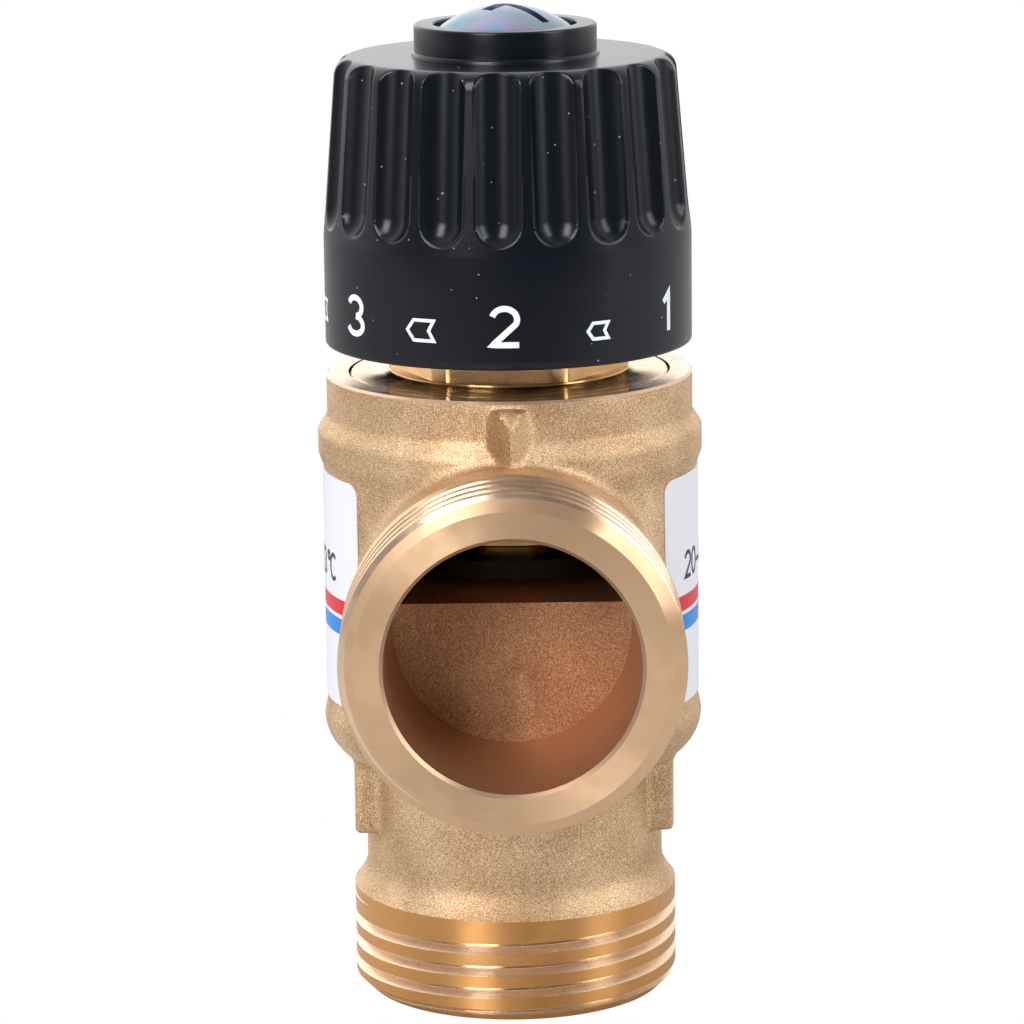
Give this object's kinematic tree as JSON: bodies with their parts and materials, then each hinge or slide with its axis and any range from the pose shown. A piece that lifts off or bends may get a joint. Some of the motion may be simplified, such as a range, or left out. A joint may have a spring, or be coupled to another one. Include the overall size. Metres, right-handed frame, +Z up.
{
  "type": "thermostatic mixing valve",
  "caption": "Brass tee mixing valve with threaded pipe ends, ribbed black dial knob and inner wax-element cartridge that blends hot and cold water.",
  "frame": {"origin": "centre of the bottom port's end face", "axes": "+Z up the knob and cartridge axis, -Y out of the cold port, +Y out of the hot port"},
  "size_m": [0.039, 0.082, 0.1014],
  "materials": {
    "cast_brass": "shot-blasted casting with turned ports",
    "turned_brass": "fine turned",
    "black_plastic": "satin moulded",
    "dark_plastic": "moulded",
    "white_plastic": "turned",
    "zinc_steel": "blue passivated zinc",
    "spring_steel": "drawn wire",
    "rubber": "moulded",
    "copper_alloy": "drawn copper alloy",
    "label_film": "printed film"
  },
  "bodies": {
    "valve": {"valve_body": "cast_brass", "bonnet": "turned_brass", "bonnet_o_ring": "rubber", "stop_ring": "black_plastic", "stop_ring_clip": "spring_steel", "thrust_washer": "white_plastic", "element_guide": "turned_brass", "guide_clip": "spring_steel", "return_spring": "spring_steel", "label_left": "label_film", "label_right": "label_film"},
    "knob": {"knob": "black_plastic", "knob_screw": "zinc_steel", "screw_washer": "zinc_steel", "spindle": "turned_brass", "spindle_o_ring_lower": "rubber", "spindle_o_ring_upper": "rubber", "spindle_clip": "spring_steel"},
    "carrier": {"adjusting_nut": "turned_brass", "overtravel_spring": "spring_steel", "cup_clip": "spring_steel"},
    "cup": {"pressure_cup": "turned_brass", "element_piston": "zinc_steel"},
    "shuttle": {"mixing_sleeve": "dark_plastic", "sleeve_o_ring": "rubber", "wax_element": "copper_alloy", "element_clip": "spring_steel"}
  },
  "joints": [
    {"name": "knob_turn", "type": "hinge", "parent": "valve", "child": "knob", "pos_m": [0, 0, 0.0674], "axis": [0, 0, 1], "range_deg": [-60, 240]},
    {"name": "nut_slide", "type": "slide", "parent": "valve", "child": "carrier", "axis": [0, 0, 1], "range_m": [-0.00033, 0.00133]},
    {"name": "cup_slide", "type": "slide", "parent": "carrier", "child": "cup", "axis": [0, 0, 1], "range_m": [0, 0.0015], "stiffness_N_per_m": 2000, "springref_m": -0.003, "deforming": ["overtravel_spring"]},
    {"name": "sleeve_slide", "type": "slide", "parent": "valve", "child": "shuttle", "axis": [0, 0, 1], "range_m": [-0.00105, 0.00145], "stiffness_N_per_m": 4000, "deforming": ["return_spring"]}
  ],
  "couplings": [
    {"joint": "knob_turn", "follows": "nut_slide", "rad_per_m": 3141.6}
  ]
}
